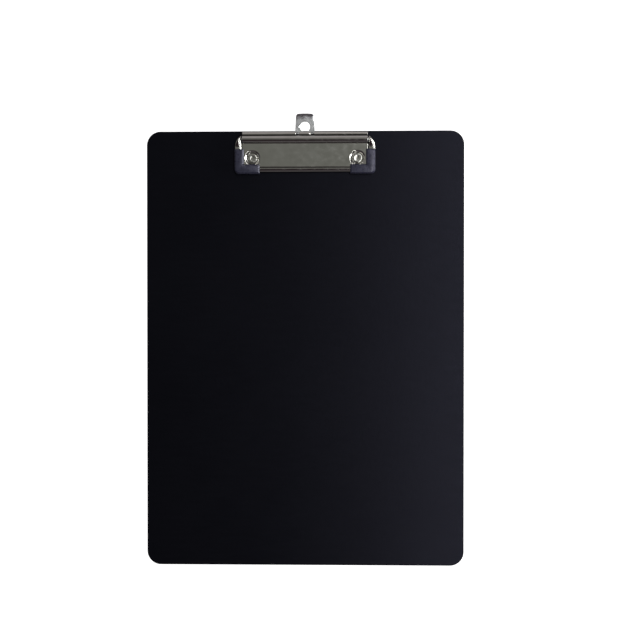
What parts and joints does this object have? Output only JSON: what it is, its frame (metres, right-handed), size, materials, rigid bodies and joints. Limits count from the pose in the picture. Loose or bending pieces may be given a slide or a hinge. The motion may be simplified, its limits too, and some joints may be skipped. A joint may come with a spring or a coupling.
{
  "type": "clipboard",
  "caption": "A4 writing board with a low-profile sprung metal clip that holds paper at its top edge, black corner grips and a pull-out hanging tab.",
  "frame": {"origin": "centre of the board's flat back face", "axes": "+X to the right seen from the front, +Y along the board towards the clip and hanging tab, +Z out of the writing face"},
  "size_m": [0.23, 0.3274, 0.0077],
  "materials": {
    "board_plastic": "fine-grained matte",
    "plated_steel": "bright nickel plated",
    "grip_plastic": "semi-gloss",
    "spring_steel": "drawn wire"
  },
  "bodies": {
    "board_and_clip": {"board": "board_plastic", "base_plate": "plated_steel", "rivet_left": "plated_steel", "rivet_right": "plated_steel", "hinge_rod": "spring_steel", "torsion_spring_left": "spring_steel", "torsion_spring_right": "spring_steel"},
    "jaw": {"jaw_frame": "plated_steel", "corner_grip_left": "grip_plastic", "corner_grip_right": "grip_plastic"},
    "hanger": {"hanger_tab": "plated_steel"}
  },
  "joints": [
    {"name": "jaw_hinge", "type": "hinge", "parent": "board_and_clip", "child": "jaw", "pos_m": [0, 0.1512, 0.0049], "axis": [-1, 0, 0], "range_deg": [0, 50], "stiffness_Nm_per_rad": 0.2, "springref_deg": -85.94, "deforming": ["torsion_spring_left", "torsion_spring_right"]},
    {"name": "hanger_slide", "type": "slide", "parent": "board_and_clip", "child": "hanger", "axis": [0, 1, 0], "range_m": [-0.0095, 0]}
  ]
}
